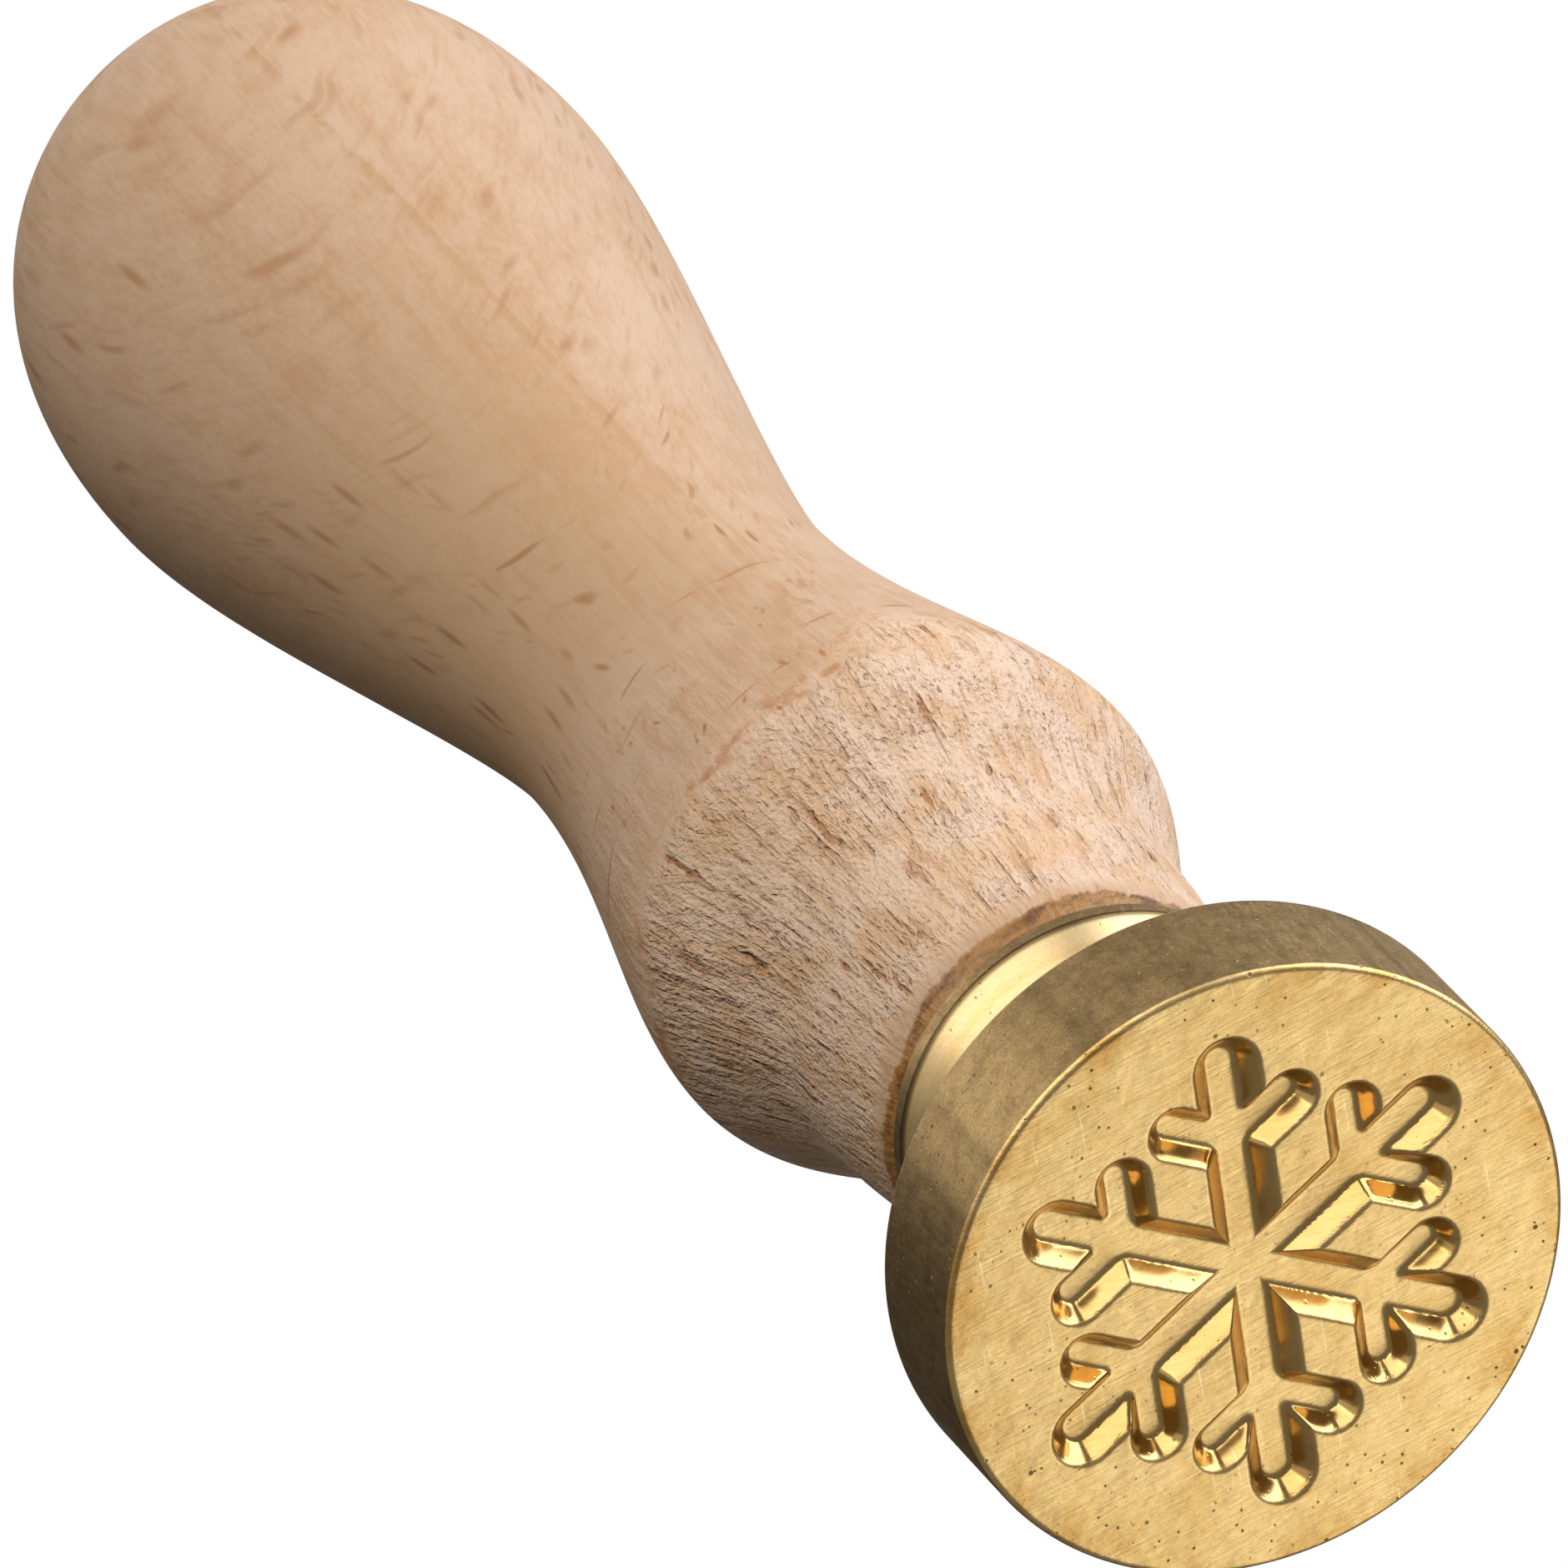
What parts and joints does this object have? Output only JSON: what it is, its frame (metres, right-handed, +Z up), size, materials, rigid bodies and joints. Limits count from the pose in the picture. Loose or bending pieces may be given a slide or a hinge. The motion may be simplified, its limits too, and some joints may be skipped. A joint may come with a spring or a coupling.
{
  "type": "wax seal stamp",
  "caption": "Hand stamp for sealing wax: turned beech handle screwed by a hanger bolt to a round brass die whose flat face is engraved with a snowflake.",
  "frame": {"origin": "centre of the engraved face, on the surface that the stamp stands on", "axes": "+Z up along the turned axis from the engraved face to the end of the handle; +X along one arm of the engraved snowflake"},
  "size_m": [0.025, 0.025, 0.1032],
  "materials": {
    "brass": "satin turned brass, dulled on the flange",
    "steel": "zinc-plated screw",
    "beech": "bare turned beech"
  },
  "bodies": {
    "head": {"seal_head": "brass"},
    "bolt": {"hanger_bolt": "steel"},
    "grip": {"handle": "beech"}
  },
  "joints": [
    {"name": "bolt_travel", "type": "slide", "parent": "head", "child": "bolt", "axis": [0, 0, 1], "range_m": [0, 0.0101]},
    {"name": "handle_turn", "type": "hinge", "parent": "bolt", "child": "grip", "pos_m": [0, 0, 0.0152], "axis": [0, 0, 1], "range_deg": [0, 3600]}
  ],
  "couplings": [
    {"joint": "bolt_travel", "follows": "handle_turn", "m_per_rad": 0.00015915}
  ]
}
